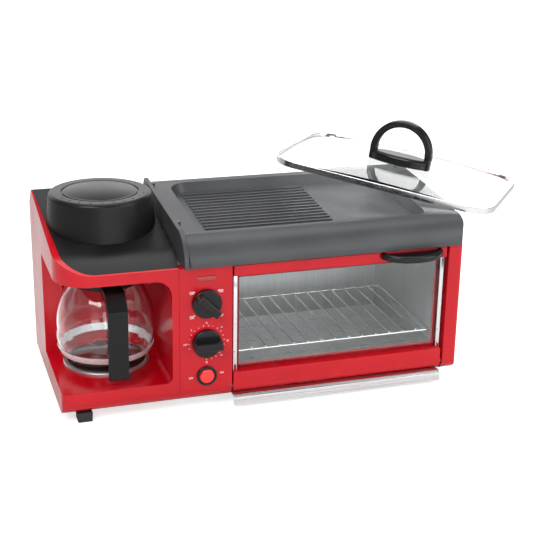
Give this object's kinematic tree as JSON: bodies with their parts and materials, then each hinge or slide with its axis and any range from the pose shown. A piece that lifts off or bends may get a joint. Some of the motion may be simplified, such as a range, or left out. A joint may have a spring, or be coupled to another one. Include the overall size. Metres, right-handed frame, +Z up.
{
  "type": "breakfast station",
  "caption": "Countertop breakfast station: drip coffee maker with glass carafe, toaster oven with drop-down door, and a lift-off griddle with a glass lid.",
  "frame": {"origin": "middle of the whole outline in plan, with the glass lid as it lies, on the surface that the feet stand on", "axes": "+X to the right seen from the front and along the longest side, +Y to the back, +Z up"},
  "size_m": [0.6428, 0.3598, 0.2967],
  "materials": {
    "coffee_base": "gloss red",
    "coffee_housing": "gloss red",
    "coffee_head": "gloss red",
    "coffee_cover": "satin black",
    "lid_hinge": "satin black",
    "brew_lid": "satin black",
    "brew_basket": "satin black",
    "warming_plate": "satin black",
    "plate_ring": "bare sheet",
    "carafe_glass": "clear",
    "carafe_collar": "satin black",
    "carafe_lid": "satin black",
    "carafe_band": "bright",
    "carafe_handle": "satin black",
    "control_panel": "gloss red enamel",
    "indicator_lens": "clear red",
    "function_knob": "gloss black",
    "timer_knob": "gloss black",
    "control_switches": "satin black",
    "switch_bezel": "gloss black",
    "coffee_switch": "clear red",
    "side_panel": "gloss red enamel",
    "bottom_pan": "bare sheet",
    "top_plate": "bare sheet",
    "chassis_wall": "bare sheet",
    "rear_panel": "gloss red enamel",
    "cord_inlet": "satin black",
    "front_frame": "bare sheet",
    "oven_liner": "bare sheet",
    "liner_brackets": "bare sheet",
    "lower_elements": "bare sheet",
    "upper_elements": "bare sheet",
    "element_mounts": "white ceramic",
    "element_guard": "bare sheet",
    "bake_rack": "bright",
    "crumb_tray": "brushed",
    "tray_lip": "brushed",
    "door_frame": "gloss red enamel",
    "door_pins": "bare sheet",
    "door_glass": "clear",
    "door_strips": "bright",
    "door_handle": "gloss black",
    "griddle": "dark grey non-stick coat",
    "lid_glass": "clear",
    "lid_rim": "bright",
    "lid_handle": "gloss black",
    "lid_screw": "bare sheet",
    "feet": "black"
  },
  "bodies": {
    "body": {"coffee_base": "coffee_base", "coffee_housing": "coffee_housing", "coffee_head": "coffee_head", "coffee_cover": "coffee_cover", "lid_hinge": "lid_hinge", "brew_basket": "brew_basket", "warming_plate": "warming_plate", "plate_ring": "plate_ring", "control_panel": "control_panel", "indicator_lens": "indicator_lens", "control_switches": "control_switches", "switch_bezel": "switch_bezel", "side_panel": "side_panel", "bottom_pan": "bottom_pan", "top_plate": "top_plate", "chassis_wall": "chassis_wall", "rear_panel": "rear_panel", "cord_inlet": "cord_inlet", "front_frame": "front_frame", "oven_liner": "oven_liner", "liner_brackets": "liner_brackets", "lower_elements": "lower_elements", "upper_elements": "upper_elements", "element_mounts": "element_mounts", "element_guard": "element_guard", "door_pins": "door_pins", "feet": "feet"},
    "brew_lid": {"brew_lid": "brew_lid"},
    "carafe": {"carafe_glass": "carafe_glass", "carafe_collar": "carafe_collar", "carafe_lid": "carafe_lid", "carafe_band": "carafe_band", "carafe_handle": "carafe_handle"},
    "function_knob": {"function_knob": "function_knob"},
    "timer_knob": {"timer_knob": "timer_knob"},
    "coffee_switch": {"coffee_switch": "coffee_switch"},
    "rack": {"bake_rack": "bake_rack"},
    "tray": {"crumb_tray": "crumb_tray", "tray_lip": "tray_lip"},
    "door": {"door_frame": "door_frame", "door_glass": "door_glass", "door_strips": "door_strips", "door_handle": "door_handle"},
    "griddle": {"griddle": "griddle"},
    "glass_lid": {"lid_glass": "lid_glass", "lid_rim": "lid_rim", "lid_handle": "lid_handle", "lid_screw": "lid_screw"}
  },
  "joints": [
    {"name": "brew_lid_hinge", "type": "hinge", "parent": "body", "child": "brew_lid", "pos_m": [-0.25085, 0.03609, 0.233], "axis": [-1, 0, 0], "range_deg": [0, 80]},
    {"name": "carafe_slide", "type": "slide", "parent": "body", "child": "carafe", "axis": [0, -1, 0], "range_m": [0, 0.16]},
    {"name": "function_turn", "type": "hinge", "parent": "body", "child": "function_knob", "pos_m": [-0.15145, -0.15191, 0.1366], "axis": [0, 1, 0], "range_deg": [0, 270]},
    {"name": "timer_turn", "type": "hinge", "parent": "body", "child": "timer_knob", "pos_m": [-0.15145, -0.15191, 0.0869], "axis": [0, 1, 0], "range_deg": [0, 280]},
    {"name": "coffee_rocker", "type": "hinge", "parent": "body", "child": "coffee_switch", "pos_m": [-0.15145, -0.15241, 0.045], "axis": [1, 0, 0], "range_deg": [-6, 6]},
    {"name": "door_hinge", "type": "hinge", "parent": "body", "child": "door", "pos_m": [0.0168, -0.14491, 0.025], "axis": [1, 0, 0], "range_deg": [0, 84]},
    {"name": "rack_slide", "type": "slide", "parent": "body", "child": "rack", "axis": [0, -1, 0], "range_m": [0, 0.0587]},
    {"name": "tray_slide", "type": "slide", "parent": "body", "child": "tray", "axis": [0, -1, 0], "range_m": [0, 0.12]},
    {"name": "griddle_lift", "type": "slide", "parent": "body", "child": "griddle", "axis": [0, 0, 1], "range_m": [0, 0.06]},
    {"name": "glass_lid_lift", "type": "slide", "parent": "griddle", "child": "glass_lid", "axis": [0, 0, 1], "range_m": [0, 0.12]}
  ],
  "couplings": [
    {"joint": "rack_slide", "follows": "door_hinge", "m_per_rad": 0.04}
  ]
}
